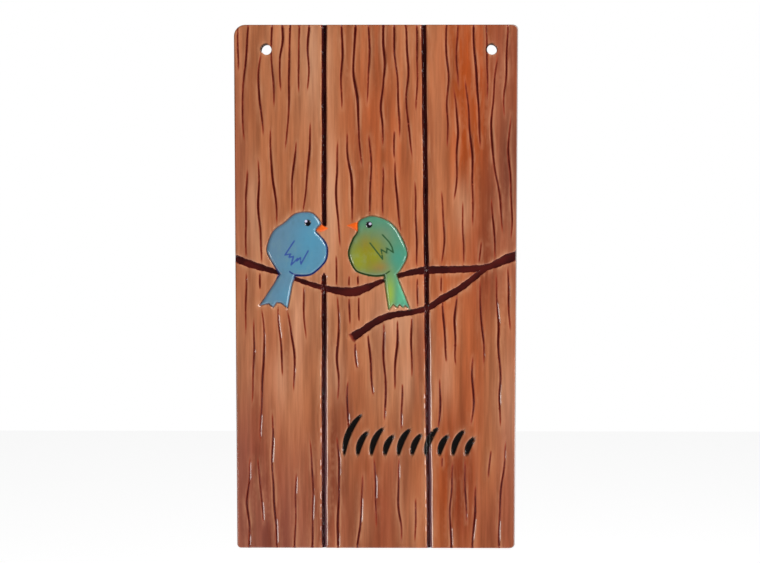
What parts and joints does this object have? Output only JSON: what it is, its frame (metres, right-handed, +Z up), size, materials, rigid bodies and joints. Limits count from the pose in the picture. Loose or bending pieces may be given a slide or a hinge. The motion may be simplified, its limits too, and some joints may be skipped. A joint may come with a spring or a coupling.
{
  "type": "bisque tile plaque",
  "caption": "Upright glazed ceramic wall plaque carved as weathered planks, with perched birds on a branch in low relief, a row of brush strokes and holes to hang it by.",
  "frame": {"origin": "on the flat back face, half-way across, level with the two hanging holes", "axes": "+Z up, +Y out of the back towards the wall, +X to the right of someone who looks at the carved face, which looks along -Y"},
  "size_m": [0.15, 0.009, 0.28],
  "materials": {
    "glazed_bisque": "hand-painted wood browns under a clear gloss glaze, bare off-white bisque on the sides and back"
  },
  "bodies": {
    "root": {"plaque_tile": "glazed_bisque"}
  },
  "joints": []
}
